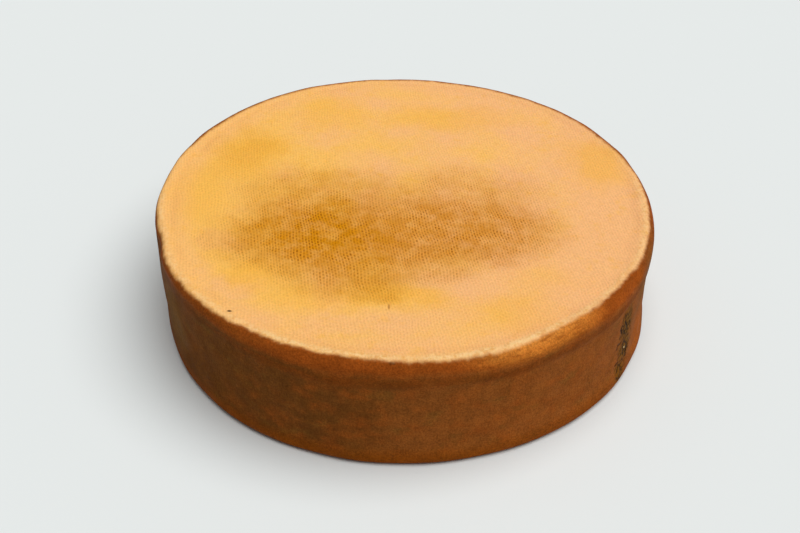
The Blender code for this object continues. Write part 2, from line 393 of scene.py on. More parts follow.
# The studio.
FLOOR_WHITE = (0.775, 0.807, 0.799, 1.0)
FLOOR_SIDE = 12.0
SKY_STRENGTH = 0.20
BACKDROP = screen(229, 233, 232)
KEY_STRENGTH = 2.70
KEY_HIGH = math.radians(73)
KEY_ROUND = math.radians(-20)
KEY_SOFTNESS = math.radians(60)


def smooth(low, high, value):
    """0 below low, 1 above high, and an S-shaped rise between them."""
    share = np.clip((value - low) / (high - low), 0.0, 1.0)
    return share * share * (3 - 2 * share)


def hump(value, middle, spread):
    """A bell curve, 1 high at its middle."""
    return np.exp(-(((value - middle) / spread) ** 2))


def ripple(seed, counts, angle):
    """A closed wave round the wheel, at most 1 high: a sine for each count of swells."""
    draw = random.Random(seed)
    total, whole = 0.0, 0.0
    for count in counts:
        start, weight = draw.uniform(0, math.tau), draw.uniform(0.5, 1.0)
        total = total + weight * np.sin(count * angle + start)
        whole += weight
    return total / whole


def lumps(seed, along, across, angle, arc):
    """Random lumps from -1 to 1 that close round the wheel.

    Random heights stand at the corners of a grid of cells, and an S-curve in each
    direction joins them. A cell is about along by across metres.
    """
    columns = round(math.tau * RADIUS / along)
    column = np.mod(angle / math.tau, 1.0) * columns
    row = (arc - arc.min()) / across
    heights = np.random.default_rng(seed).uniform(-1, 1, (int(row.max()) + 2, columns))
    left = column.astype(int) % columns
    right = (left + 1) % columns
    below = row.astype(int)
    over, up = smooth(0, 1, column % 1), smooth(0, 1, row % 1)
    lower = heights[below, left] * (1 - over) + heights[below, right] * over
    upper = heights[below + 1, left] * (1 - over) + heights[below + 1, right] * over
    return lower * (1 - up) + upper * up


def heel_hollow(height):
    """How far the heel lies inside the beads at a height above the lower face."""
    above_lower = smooth(LOWER_BEAD - BEAD_TURN / 2, LOWER_BEAD + BEAD_TURN, height)
    below_upper = 1 - smooth(BEAD_SIDE - BEAD_TURN / 2, BEAD_SIDE + BEAD_TURN / 2, height)
    share = (height - LOWER_BEAD) / (BEAD_SIDE - LOWER_BEAD)
    belly = BELLY * np.clip(4 * share * (1 - share), 0, 1)
    return (GROOVE + belly) * above_lower * below_upper


def profile():
    """Radius and height of the stations, from beside the upper pole to beside the lower one.

    The face runs level, the crest rises as half a cosine, both edges are quarters of an
    ellipse, and the heel is straight but for its hollow.
    """
    shoulder = RADIUS - EDGE_IN
    foot = shoulder - CREST_WIDTH
    face = foot * np.arange(1, FACE_RINGS) / FACE_RINGS
    crest = np.arange(CREST_STEPS) / CREST_STEPS
    quarter = math.pi / 2 * np.arange(EDGE_STEPS) / EDGE_STEPS
    heel = np.linspace(HEIGHT - EDGE_DROP, EDGE_DROP, HEEL_STEPS + 1)
    under = math.pi / 2 * np.arange(1, FOOT_STEPS + 1) / FOOT_STEPS
    base = shoulder * np.arange(BASE_RINGS - 1, 0, -1) / BASE_RINGS
    radius = np.concatenate([
        face,
        foot + CREST_WIDTH * crest,
        shoulder + EDGE_IN * np.sin(quarter),
        RADIUS - heel_hollow(heel),
        shoulder + EDGE_IN * np.cos(under),
        base,
    ])
    height = np.concatenate([
        np.full(len(face), HEIGHT - CREST_RISE),
        HEIGHT - CREST_RISE * (1 + np.cos(math.pi * crest)) / 2,
        HEIGHT - EDGE_DROP * (1 - np.cos(quarter)),
        heel,
        EDGE_DROP * (1 - np.sin(under)),
        np.zeros(len(base)),
    ])
    return radius, height


def arc_of(radius, height):
    """Distance along the profile, 0 at the shoulder, where the crest turns over the edge."""
    steps = np.hypot(np.diff(radius), np.diff(height))
    arc = np.concatenate([[0.0], np.cumsum(steps)])
    return arc - arc[FACE_RINGS - 1 + CREST_STEPS]


def on_heel(out):
    """0 over the faces and 1 on the heel, by the share of the radius."""
    return smooth(HEEL_FROM, HEEL_TO, out)


def outline_shift(angle, z, out):
    """How far the whole wheel is out of round: swells of the outline, and the flat."""
    swells = TWO_SWELLS * np.sin(2 * angle) + FOUR_SWELLS * np.cos(4 * angle)
    swells = swells + THREE_SWELLS * np.cos(3 * (angle - THREE_SWELLS_AT))
    swells = swells + HEEL_SWELLS * ripple(*HEEL_WAVE, angle + HEEL_TWIST * z) * on_heel(out)
    depth = 1 - (1 - FLAT_AT_TOP) * smooth(FLAT_FROM, FLAT_TO, z)
    return out**2 * (swells - FLAT_DEPTH * depth * hump(angle, 0, FLAT_SPREAD))


def dent(angle, z):
    """How far the upper bead and the crest are knocked in on the left."""
    around = hump(np.mod(angle, math.tau), DENT_AT, DENT_SPREAD)
    return DENT_DEPTH * around * smooth(DENT_FOOT, DENT_FULL, z)


def heel_shift(angle, z, out):
    """The filled hollow on the left, the full bead and the dent: outwards, upwards."""
    left = (1 - np.cos(angle)) / 2
    swell = np.cos(angle - BEAD_SWELL_AT)
    bead = hump(z, BEAD_MIDDLE, BEAD_SPREAD)
    outwards = LEFT_FILLING * left * heel_hollow(z) + BEAD_SWELL * swell * bead - dent(angle, z)
    below_edge = 1 - smooth(HEIGHT - EDGE_DROP, HEIGHT, z)
    side = hump(z, BEAD_SIDE, BEAD_SIDE_SPREAD) * below_edge
    upwards = side * (BEAD_WANDER * ripple(*BEAD_WAVE, angle) - BEAD_SWAY * swell)
    return outwards * on_heel(out), upwards * on_heel(out)


def worn_share(angle):
    """How lumpy the crest is: 1 round the front, where it is worn, and little at the back."""
    return WORN_AT_BACK + (1 - WORN_AT_BACK) * smooth(*WORN_BACK_TO_FRONT, -np.sin(angle))


def crest_shift(angle, z, out):
    """The crest stands back on the right and is lumpy where it is worn: outwards, upwards."""
    on_crest = smooth(CREST_FROM, CREST_TO, out) * smooth(CREST_LOW, CREST_HIGH, z)
    wander = ripple(*LUMP_WAVE, angle) * worn_share(angle)
    chips = ripple(*CHIP_WAVE, angle) * worn_share(angle)
    outwards = CREST_LUMPS * wander - CREST_SETBACK * (1 + np.cos(angle)) / 2
    upwards = CREST_CHIPS * (LUMPS_IN_CHIPS * wander + chips - 1)
    return outwards * on_crest, upwards * on_crest


def face_lift(x, y, z, out):
    """The upper face sags towards its middle and carries a few long swells."""
    on_face = smooth(*UPPER_HALF, z) * (1 - smooth(FACE_FROM, FACE_TO, out))
    swells = 0.0
    for length, heading, start in FACE_WAVES:
        along = x * math.cos(heading) + y * math.sin(heading)
        swells = swells + np.sin(math.tau * along / length + start) / len(FACE_WAVES)
    return on_face * (FACE_SWELLS * swells - FACE_SAG * (1 - out**2))


def settled(radius, height, angle):
    """The grid of turned points, moved to where the settled wheel has them."""
    x, y, z = radius * np.cos(angle), radius * np.sin(angle), height + 0 * angle
    out = radius / RADIUS + 0 * angle
    heel_out, heel_up = heel_shift(angle, z, out)
    crest_out, crest_up = crest_shift(angle, z, out)
    grown = 1 + (outline_shift(angle, z, out) + heel_out + crest_out) / radius
    upwards = face_lift(x, y, z, out) + heel_up + crest_up
    lean = LEAN * (z / HEIGHT - 0.5)
    return np.stack([x * grown + lean, y * grown, z + upwards], axis=-1)


def skin_relief(arc, angle):
    """How far the skin stands out: lumps along the crest, and shallow ones on the heel."""
    on_crest = hump(arc, CREST_RELIEF_AT, CREST_RELIEF_SPREAD) * worn_share(angle)
    fade, end = (share * arc.max() for share in HEEL_RELIEF_END)
    down = smooth(HEEL_RELIEF_FROM, HEEL_RELIEF_TO, arc) * (1 - smooth(fade, end, arc))
    total = 0.0
    for seed, along, across, height in CREST_RELIEF:
        total = total + on_crest * height * lumps(seed, along, across, angle, arc)
    for seed, along, across, height in HEEL_RELIEF:
        total = total + down * height * lumps(seed, along, across, angle, arc)
    return total


def outward(grid):
    """Unit normals of a closed grid of points, from the steps down it and round it."""
    down = np.gradient(grid, axis=0)
    around = np.roll(grid, -1, axis=1) - np.roll(grid, 1, axis=1)
    normal = np.cross(down, around)
    return normal / np.linalg.norm(normal, axis=-1, keepdims=True)


def skin():
    """Points of the skin, ring by ring with a pole before and after, and each one's arc."""
    radius, height = profile()
    arc = arc_of(radius, height)
    angle = math.tau * np.arange(ANGLES) / ANGLES - math.pi
    rows, columns = radius[:, None], angle[None, :]
    grid = settled(rows, height[:, None], columns)
    relief = skin_relief(arc[:, None] + 0 * columns, columns + 0 * rows)
    grid = grid + outward(grid) * relief[..., None]
    top, bottom = grid[0].mean(axis=0), grid[-1].mean(axis=0)
    points = np.vstack([top, grid.reshape(-1, 3), bottom])
    arcs = np.concatenate([[arc[0] - radius[0]], np.repeat(arc, ANGLES), [arc[-1] + radius[-1]]])
    return fitted(points), arcs


def fitted(points):
    """The points, stretched by a hair so that their box just fits inside the frame's box."""
    low, high = (np.array(corner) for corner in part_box("wheel"))
    low, high = low + (INSIDE, INSIDE, 0), high - INSIDE
    lowest, highest = points.min(axis=0), points.max(axis=0)
    return low + (points - lowest) * (high - low) / (highest - lowest)


def skin_faces(count):
    """Faces over the grid: a fan round each pole and a band of quads between the rings."""
    here = np.arange(ANGLES)
    after = (here + 1) % ANGLES
    rings = (count - 2) // ANGLES
    fan = np.stack([np.zeros(ANGLES, int), here + 1, after + 1], axis=1)
    last = 1 + (rings - 1) * ANGLES
    cap = np.stack([np.full(ANGLES, count - 1), last + after, last + here], axis=1)
    start = 1 + ANGLES * np.arange(rings - 1)[:, None]
    below = start + ANGLES
    bands = np.stack([start + here, below + here, below + after, start + after], axis=-1)
    return fan.tolist() + bands.reshape(-1, 4).tolist() + cap.tolist()


def wheel_rind(material):
    """The wheel's skin as one mesh. The attribute arc is the distance down from the shoulder."""
    points, arcs = skin()
    mesh = bpy.data.meshes.new("wheel_rind")
    mesh.from_pydata(points.tolist(), [], skin_faces(len(points)))
    mesh.attributes.new("arc", "FLOAT", "POINT").data.foreach_set("value", arcs.astype(np.float32))
    mesh.update()
    mesh.shade_smooth()
    mesh.materials.append(material)
    piece = bpy.data.objects.new("wheel_rind", mesh)
    bpy.context.scene.collection.objects.link(piece)
    return piece


def place(tree, kind, inputs=None, **settings):
    """A node with its settings. An input is a number, a colour or another node's socket."""
    made = tree.nodes.new(kind)
    for name, value in settings.items():
        setattr(made, name, value)
    for name, value in (inputs or {}).items():
        if isinstance(value, bpy.types.NodeSocket):
            tree.links.new(value, made.inputs[name])
        else:
            made.inputs[name].default_value = value
    return made


def calc(tree, operation, first, second=0.0, third=0.0):
    """One step of arithmetic on numbers or sockets."""
    inputs = {0: first, 1: second, 2: third}
    return place(tree, "ShaderNodeMath", inputs, operation=operation).outputs[0]


def product(tree, first, *others):
    """All the values multiplied."""
    for other in others:
        first = calc(tree, "MULTIPLY", first, other)
    return first


def vector(tree, operation, first, second, third=(0.0, 0.0, 0.0)):
    """One step of arithmetic on vectors."""
    inputs = {0: first, 1: second, 2: third}
    return place(tree, "ShaderNodeVectorMath", inputs, operation=operation).outputs[0]


def rise(tree, value, low, high, start=0.0, end=1.0):
    """start at low, end at high, and an S-curve between them."""
    inputs = {"Value": value, "From Min": low, "From Max": high, "To Min": start, "To Max": end}
    made = place(tree, "ShaderNodeMapRange", inputs, interpolation_type="SMOOTHSTEP")
    return made.outputs["Result"]


def scaled(tree, value, share):
    """A colour or a vector, times a number."""
    inputs = {0: value, "Scale": share}
    return place(tree, "ShaderNodeVectorMath", inputs, operation="SCALE").outputs[0]


def measure(tree, operation, first, second=(0.0, 0.0, 0.0)):
    """One number from vectors: a length, a distance or a dot product."""
    inputs = {0: first, 1: second}
    return place(tree, "ShaderNodeVectorMath", inputs, operation=operation).outputs["Value"]


def blend(tree, share, first, second, way="MIX"):
    """The first colour, with a share of the second laid over it."""
    inputs = {0: share, 6: first, 7: second}
    made = place(tree, "ShaderNodeMix", inputs, data_type="RGBA", blend_type=way)
    return made.outputs[2]


def cloud(tree, where, size, detail, roughness=0.5):
    """Soft noise from 0 to 1, whose patches are about size metres."""
    inputs = {"Vector": where, "Scale": 1 / size, "Detail": detail, "Roughness": roughness}
    return place(tree, "ShaderNodeTexNoise", inputs).outputs["Fac"]


def stretched_cloud(tree, where, stretch, noise):
    """Soft noise of a place stretched along X, Y and Z, so that its patches are flat or tall."""
    return cloud(tree, vector(tree, "MULTIPLY", where, stretch), *noise)


def warped(tree, where, size, amount):
    """The place, pushed about by up to amount metres in swirls of about size metres."""
    inputs = {"Vector": where, "Scale": 1 / size, "Detail": 3.0, "Roughness": 0.55}
    noise = place(tree, "ShaderNodeTexNoise", inputs).outputs["Color"]
    swing = vector(tree, "SUBTRACT", noise, (0.5, 0.5, 0.5))
    return vector(tree, "MULTIPLY_ADD", swing, (2 * amount,) * 3, where)


def new_group(name, inputs, outputs):
    """An empty node group with named sockets: its tree, its inputs and its output node."""
    group = bpy.data.node_groups.new(name, "ShaderNodeTree")
    for label, kind, value in inputs:
        socket = group.interface.new_socket(label, in_out="INPUT", socket_type=kind)
        if value is not None:
            socket.default_value = value
    for label, kind in outputs:
        group.interface.new_socket(label, in_out="OUTPUT", socket_type=kind)
    entry = group.nodes.new("NodeGroupInput")
    return group, entry.outputs, group.nodes.new("NodeGroupOutput")


def use(tree, group, inputs):
    """The outputs of a group placed in a tree with its own values."""
    return place(tree, "ShaderNodeGroup", inputs, node_tree=group).outputs


def cloth_print_group():
    """The print of a plain-woven cloth, from coordinates along and across its threads.

    Each crossing pressed a pit, and the pits along a thread stand between those of its
    neighbours. A pit is a product of two cosines made steep, and a random number for each
    makes it faint or dark. Relief is 1 on the ridges between the pits, and Specks is highest
    where a ridge runs along a thread. Noise lets the threads waver.
    """
    tree, given, result = new_group(
        "cloth_print",
        [
            ("Threads", "NodeSocketVector", None),
            ("Place", "NodeSocketVector", None),
            ("Pitch", "NodeSocketFloat", THREAD_PITCH),
            ("Waver", "NodeSocketFloat", FACE_WAVER),
        ],
        [("Relief", "NodeSocketFloat"), ("Pits", "NodeSocketFloat"), ("Specks", "NodeSocketFloat")],
    )
    inputs = {"Vector": given["Place"], "Scale": 1 / WAVER_SIZE, "Detail": WAVER_DETAIL}
    noise = place(tree, "ShaderNodeTexNoise", inputs).outputs["Color"]
    swing = vector(tree, "SUBTRACT", noise, (0.5, 0.5, 0.5))
    reach = place(tree, "ShaderNodeCombineXYZ", {0: given["Waver"], 1: given["Waver"]}).outputs[0]
    moved = vector(tree, "MULTIPLY_ADD", swing, reach, given["Threads"])
    inputs = {0: given["Pitch"], 1: given["Pitch"], 2: 1.0}
    counted = vector(tree, "DIVIDE", moved, place(tree, "ShaderNodeCombineXYZ", inputs).outputs[0])
    parts = place(tree, "ShaderNodeSeparateXYZ", {0: counted}).outputs
    thread = calc(tree, "FLOOR", parts[0])
    odd = calc(tree, "FLOORED_MODULO", thread, 2.0)
    half_step = calc(tree, "MULTIPLY", odd, 0.5)
    along = calc(tree, "MULTIPLY_ADD", parts[1], 1 / PIT_SPACING, half_step)
    inputs = {0: thread, 1: calc(tree, "FLOOR", along)}
    cell = place(tree, "ShaderNodeCombineXYZ", inputs).outputs[0]
    chance = place(tree, "ShaderNodeTexWhiteNoise", {0: cell}, noise_dimensions="3D")
    across = calc(tree, "COSINE", calc(tree, "MULTIPLY", parts[0], math.tau))
    length = calc(tree, "COSINE", calc(tree, "MULTIPLY", along, math.tau))
    pressed = product(tree, rise(tree, across, *PIT_ACROSS), rise(tree, length, *PIT_ALONG))
    relief = calc(tree, "SUBTRACT", 1.0, pressed)
    pits = product(tree, pressed, rise(tree, chance.outputs["Value"], *PIT_DARKNESS))
    specks = product(tree, relief, rise(tree, across, *SPECK_RIDGE))
    tree.links.new(relief, result.inputs["Relief"])
    tree.links.new(pits, result.inputs["Pits"])
    tree.links.new(specks, result.inputs["Specks"])
    return tree


def spot_group():
    """A round or oval spot: 1 at its Middle, 0 from its Reach on, and an S-curve between."""
    group, given, result = new_group(
        "spot",
        [
            ("Place", "NodeSocketVector", None),
            ("Middle", "NodeSocketVector", None),
            ("Reach", "NodeSocketVector", (0.01, 0.01, 0.01)),
        ],
        [("Mask", "NodeSocketFloat")],
    )
    away = vector(group, "SUBTRACT", given["Place"], given["Middle"])
    far = measure(group, "LENGTH", vector(group, "DIVIDE", away, given["Reach"]))
    group.links.new(rise(group, far, *SPOT_FALL), result.inputs["Mask"])
    return group


def stroke_group():
    """A short straight stroke: 1 on the line From one end To the other, 0 from its Width on."""
    group, given, result = new_group(
        "stroke",
        [
            ("Place", "NodeSocketVector", None),
            ("From", "NodeSocketVector", None),
            ("To", "NodeSocketVector", None),
            ("Width", "NodeSocketFloat", 0.001),
        ],
        [("Mask", "NodeSocketFloat")],
    )
    away = vector(group, "SUBTRACT", given["Place"], given["From"])
    line = vector(group, "SUBTRACT", given["To"], given["From"])
    reached = measure(group, "DOT_PRODUCT", away, line)
    whole = measure(group, "DOT_PRODUCT", line, line)
    share = place(group, "ShaderNodeClamp", {0: calc(group, "DIVIDE", reached, whole)}).outputs[0]
    far = measure(group, "DISTANCE", away, scaled(group, line, share))
    mask = rise(group, calc(group, "DIVIDE", far, given["Width"]), *STROKE_FALL)
    group.links.new(mask, result.inputs["Mask"])
    return group


def spot_at(tree, spot, where, middle, reach, strength):
    """The mask of one spot, times its strength."""
    mask = use(tree, spot, {"Place": where, "Middle": middle, "Reach": reach})["Mask"]
    return calc(tree, "MULTIPLY", mask, strength)


def stroke_at(tree, stroke, where, ends, width, strength):
    """The mask of one stroke on the heel, times its strength."""
    start, end = (on_heel_map(*place_on_heel) for place_on_heel in ends)
    mask = use(tree, stroke, {"Place": where, "From": start, "To": end, "Width": width})["Mask"]
    return calc(tree, "MULTIPLY", mask, strength)


def rind_material():
    """The rind: colours by the place on the wheel and the distance down from the shoulder."""
    material = bpy.data.materials.new("rind")
    material.use_nodes = True
    tree = material.node_tree
    shader = tree.nodes["Principled BSDF"]
    where = place(tree, "ShaderNodeTexCoord").outputs["Object"]
    arc = place(tree, "ShaderNodeAttribute", attribute_name="arc").outputs["Fac"]
    cloth, spot, stroke = cloth_print_group(), spot_group(), stroke_group()
    zones = rind_zones(tree, where, arc, spot)
    prints = rind_prints(tree, where, cloth)
    face = face_colour(tree, where, arc, prints["face"], spot)
    heel = heel_colour(tree, where, arc, zones, prints, spot)
    colour = blend(tree, zones["heel"], face, heel)
    colour = blend(tree, zones["crest"], colour, crest_colour(tree, where))
    colour, cracks = scarred(tree, where, prints["round"], zones, colour, spot, stroke)
    colour = marked(tree, where, colour, spot)
    tree.links.new(colour, shader.inputs["Base Color"])
    tree.links.new(rind_relief(tree, where, zones, prints, cracks), shader.inputs["Normal"])
    tree.links.new(rind_roughness(tree, where, zones), shader.inputs["Roughness"])
    shader.inputs["Specular IOR Level"].default_value = 0.018
    shader.inputs["Specular Tint"].default_value = (1.0, 0.62, 0.30, 1.0)
    shader.inputs["Subsurface Weight"].default_value = 0.05
    shader.inputs["Subsurface Radius"].default_value = (1.0, 0.45, 0.15)
    shader.inputs["Subsurface Scale"].default_value = 0.003
    return material


def rind_zones(tree, where, arc, spot):
    """Masks of the rind's zones, with edges that wander: heel, crest and others."""
    parts = place(tree, "ShaderNodeSeparateXYZ", {0: where}).outputs
    ragged = calc(tree, "SUBTRACT", cloud(tree, where, *RAGGED_NOISE), 0.5)
    drift = calc(tree, "SUBTRACT", cloud(tree, where, *DRIFT_NOISE), 0.5)
    side = calc(tree, "DIVIDE", parts[0], RADIUS)
    front = calc(tree, "DIVIDE", parts[1], -RADIUS)
    edge = calc(tree, "ADD", rise(tree, side, *EDGE_LEFT), RIND_EDGE)
    edge = calc(tree, "ADD", rise(tree, front, *EDGE_BACK), edge)
    for middle, extent, shift in EDGE_HIGH:
        edge = calc(tree, "ADD", spot_at(tree, spot, where, middle, extent, shift), edge)
    reach = calc(tree, "MULTIPLY_ADD", ragged, RAGGED_BY, arc)
    over = calc(tree, "SUBTRACT", reach, edge)
    crest = product(tree, rise(tree, over, *CREST_INNER), rise(tree, over, *CREST_OUTER))
    aside = calc(tree, "ADD", side, drift)
    worn = rise(tree, calc(tree, "ADD", front, drift), *CREST_FRONT)
    worn = product(tree, worn, rise(tree, aside, *CREST_RIGHT), rise(tree, aside, *CREST_LEFT))
    rubbed = rise(tree, cloud(tree, where, *RUBBED_NOISE), *CREST_RUBBED)
    not_lower_face = calc(tree, "SUBTRACT", 1.0, rise(tree, reach, *LOWER_FACE))
    return {
        "heel": product(tree, rise(tree, over, *HEEL_TOP), not_lower_face),
        "crest": product(tree, crest, worn, rubbed),
        "over": over,
        "side": side,
        "left": rise(tree, side, *LEFT_SIDE),
        "drift": drift,
    }


def rind_prints(tree, where, cloth):
    """The cloth print on the faces, laid straight across, and round the heel."""
    inputs = {"Vector": where, "Rotation": (0, 0, FACE_HEADING)}
    turned = place(tree, "ShaderNodeMapping", inputs).outputs[0]
    face = use(tree, cloth, {"Threads": turned, "Place": where, "Waver": FACE_WAVER})
    parts = place(tree, "ShaderNodeSeparateXYZ", {0: where}).outputs
    angle = calc(tree, "ARCTAN2", parts[1], parts[0])
    along = calc(tree, "MULTIPLY", angle, ROUND_HEEL)
    round_heel = place(tree, "ShaderNodeCombineXYZ", {0: along, 1: parts[2]}).outputs[0]
    heel = use(tree, cloth, {"Threads": round_heel, "Place": where, "Waver": HEEL_WAVER})
    return {"face": face, "heel": heel, "round": round_heel}


def spots_over(tree, where, spot, spots):
    """Some spots on the upper face, laid one over the other, each at its own strength."""
    bare = 1.0
    for middle, reach, strength in spots:
        mask = spot_at(tree, spot, where, middle + (HEIGHT,), reach + (1.0,), strength)
        bare = calc(tree, "MULTIPLY", calc(tree, "SUBTRACT", 1.0, mask), bare)
    return calc(tree, "SUBTRACT", 1.0, bare)


def face_colour(tree, where, arc, cloth_print, spot):
    """Light orange, yellower on the left and pinker on the right, with stains and the print."""
    torn = where
    for swirl in FACE_SWIRLS:
        torn = warped(tree, torn, *swirl)
    broad = calc(tree, "SUBTRACT", cloud(tree, where, *BROAD_NOISE), 0.5)
    side = place(tree, "ShaderNodeSeparateXYZ", {0: where}).outputs[0]
    drifted = calc(tree, "MULTIPLY_ADD", broad, PINKER_DRIFT, side)
    colour = blend(tree, rise(tree, drifted, *PINKER_SIDE), FACE_YELLOW, FACE_PINK)
    rim = product(tree, rise(tree, arc, *PINK_RIM), PINK_RIM_SHARE)
    pink = calc(tree, "MAXIMUM", spots_over(tree, torn, spot, PINK_SPOTS), rim)
    colour = blend(tree, product(tree, pink, SPOT_SHARE), colour, FACE_PINK)
    flecks = rise(tree, cloud(tree, where, *FLECK_NOISE), *FLECKS)
    ochre = calc(tree, "MAXIMUM", spots_over(tree, torn, spot, OCHRE_SPOTS), flecks)
    colour = blend(tree, product(tree, ochre, SPOT_SHARE), colour, FACE_OCHRE)
    uneven = rise(tree, cloud(tree, where, *STAIN_NOISE), *UNEVEN_STAIN)
    umber = product(tree, spots_over(tree, torn, spot, UMBER_SPOTS), uneven)
    saffron = product(tree, spots_over(tree, torn, spot, SAFFRON_SPOTS), uneven)
    colour = blend(tree, umber, colour, UMBER)
    colour = blend(tree, saffron, colour, SAFFRON)
    strayed = calc(tree, "MULTIPLY_ADD", broad, CREST_FOOT_DRIFT, arc)
    foot = product(tree, rise(tree, strayed, *CREST_FOOT), rise(tree, strayed, *CREST_FOOT_END))
    patches = rise(tree, cloud(tree, where, *CREST_FOOT_NOISE), *CREST_FOOT_PATCHES)
    colour = blend(tree, product(tree, foot, patches), colour, CREST_FOOT_SHADE, "MULTIPLY")
    stained = calc(tree, "MAXIMUM", saffron, umber)
    # The pits darken and the specks lighten the print: partly the print's own colour, partly painted
    # shade in the pits and a painted highlight on the ridges.
    patchy = rise(tree, cloud(tree, where, *PRINT_NOISE), *PRINT_PATCHES)
    depth = calc(tree, "MULTIPLY_ADD", stained, PIT_DEPTH_STAINED, PIT_DEPTH)
    pits = product(tree, cloth_print["Pits"], patchy, depth)
    colour = blend(tree, pits, colour, PIT_SHADE, "MULTIPLY")
    gain = calc(tree, "MULTIPLY_ADD", stained, SPECK_GAIN_STAINED, SPECK_GAIN)
    mottled = rise(tree, cloud(tree, where, *FACE_GRAIN), *FACE_MOTTLING)
    specks = product(tree, cloth_print["Specks"], patchy)
    return scaled(tree, colour, calc(tree, "MULTIPLY_ADD", specks, gain, mottled))


def heel_colour(tree, where, arc, zones, prints, spot):
    """Brown, olive on the left, orange on the right of the bead, with dashes and mottling, a painted
    grey sheen on the left and painted light glows on the lower right.
    """
    shifted = calc(tree, "MULTIPLY_ADD", zones["drift"], BAND_DRIFT, arc)
    turn = calc(tree, "MULTIPLY_ADD", zones["drift"], SIDE_DRIFT, zones["side"])
    colour = blend(tree, rise(tree, turn, *HEEL_TO_LEFT), HEEL_BROWN, HEEL_LEFT)
    blotches = rise(tree, stretched_cloud(tree, where, BLOTCH_STRETCH, BLOTCH_NOISE), *BLOTCHES)
    blotches = product(tree, blotches, rise(tree, turn, *BLOTCHES_BY_SIDE))
    colour = blend(tree, blotches, colour, HEEL_RED)
    olive = rise(tree, stretched_cloud(tree, where, OLIVE_STRETCH, OLIVE_NOISE), *OLIVES)
    colour = blend(tree, product(tree, olive, OLIVE_SHARE), colour, HEEL_OLIVE)
    # Painted sheen: a grey reflection near the left edge of the heel.
    sheen = spot_at(tree, spot, warped(tree, where, *PAINTED_SHEEN_SWIRL), *PAINTED_SHEEN)
    colour = blend(tree, sheen, colour, SHEEN_GREY)
    colour = bead_colour(tree, where, shifted, zones, colour, spot)
    round_heel = place(tree, "ShaderNodeSeparateXYZ", {0: prints["round"]}).outputs[0]
    inputs = {0: product(tree, round_heel, STREAK_PULL), 1: arc}
    drawn_out = place(tree, "ShaderNodeCombineXYZ", inputs).outputs[0]
    streaks = rise(tree, cloud(tree, drawn_out, *STREAK_NOISE), *STREAKS)
    streaks = product(tree, streaks, rise(tree, shifted, *STREAK_END), STREAK_SHARE)
    colour = blend(tree, streaks, colour, STREAK_RED)
    # Painted light: orange glows on the lower right of the heel.
    swirled = warped(tree, where, *GLOW_SWIRL)
    for glow in PAINTED_GLOWS:
        colour = blend(tree, spot_at(tree, spot, swirled, *glow), colour, GLOW_ORANGE)
    colour = blend(tree, spot_at(tree, spot, swirled, *HEEL_SHADE), colour, HEEL_OLIVE)
    colour = blend(tree, rise(tree, shifted, *FOOT_TOP), colour, FOOT_BROWN)
    upright = stretched_cloud(tree, where, UPRIGHT_STRETCH, UPRIGHT_NOISE)
    level = stretched_cloud(tree, where, LEVEL_STRETCH, LEVEL_NOISE)
    dashes = product(tree, prints["heel"]["Pits"], PRINT_DASHES)
    dashes = calc(tree, "MAXIMUM", rise(tree, upright, *UPRIGHT_DASHES), dashes)
    dashes = calc(tree, "MAXIMUM", rise(tree, level, *LEVEL_DASHES), dashes)
    colour = blend(tree, product(tree, dashes, DASH_SHARE), colour, DASH_SHADE, "MULTIPLY")
    grain = rise(tree, cloud(tree, where, *HEEL_GRAIN), *HEEL_MOTTLING)
    clouds = rise(tree, cloud(tree, where, *HEEL_CLOUDS), *HEEL_CLOUDING)
    return scaled(tree, colour, product(tree, grain, clouds))


def bead_colour(tree, where, shifted, zones, colour, spot):
    """The brown bead, orange and lit with painted light on the right, between the crest and the
    groove, which is darkened with painted shade.
    """
    # Painted shade: the groove below the bead reddened and darkened.
    groove = product(tree, rise(tree, shifted, *GROOVE_TOP), rise(tree, shifted, *GROOVE_END))
    red = product(tree, groove, rise(tree, zones["left"], *GROOVE_BY_SIDE))
    colour = blend(tree, red, colour, CREASE_SHADE_RED)
    bead = product(tree, rise(tree, shifted, *BEAD_END), rise(tree, zones["left"], *BEAD_BY_SIDE))
    colour = blend(tree, bead, colour, BEAD_BROWN)
    colour = scaled(tree, colour, calc(tree, "MULTIPLY_ADD", groove, GROOVE_PAINTED_SHADE, 1.0))
    # Painted light on the bead at the front right, orange, and paler as a painted highlight at its
    # top.
    right = spot_at(tree, spot, where, *BEAD_PAINTED_LIGHT)
    bright = product(tree, right, rise(tree, shifted, *PAINTED_LIGHT_END))
    colour = blend(tree, bright, colour, LIT_BEAD_ORANGE)
    top = product(tree, rise(tree, zones["over"], *LIT_BEAD_TOP_END), right, LIT_BEAD_TOP_SHARE)
    colour = blend(tree, top, colour, BEAD_TOP)
    # Painted shadow: a dark red line under the lip of the crest, except on the right.
    not_right = calc(tree, "SUBTRACT", 1.0, right)
    under = rise(tree, zones["over"], *UNDER_CREST_SHADOW_END)
    return blend(tree, product(tree, under, not_right, UNDER_CREST_SHADOW_SHARE), colour, CREASE_SHADE_RED)


def crest_colour(tree, where):
    """Pale cream where the rind is worn off, ochre in the dips."""
    dips = rise(tree, cloud(tree, where, *CREST_NOISE), *CREST_DIPS)
    return blend(tree, dips, CREST_CREAM, CREST_OCHRE)


def on_heel_map(angle, height):
    """A place round the heel and up it, from degrees and millimetres."""
    return (math.radians(angle) * ROUND_HEEL, height / 1000, 0.0)


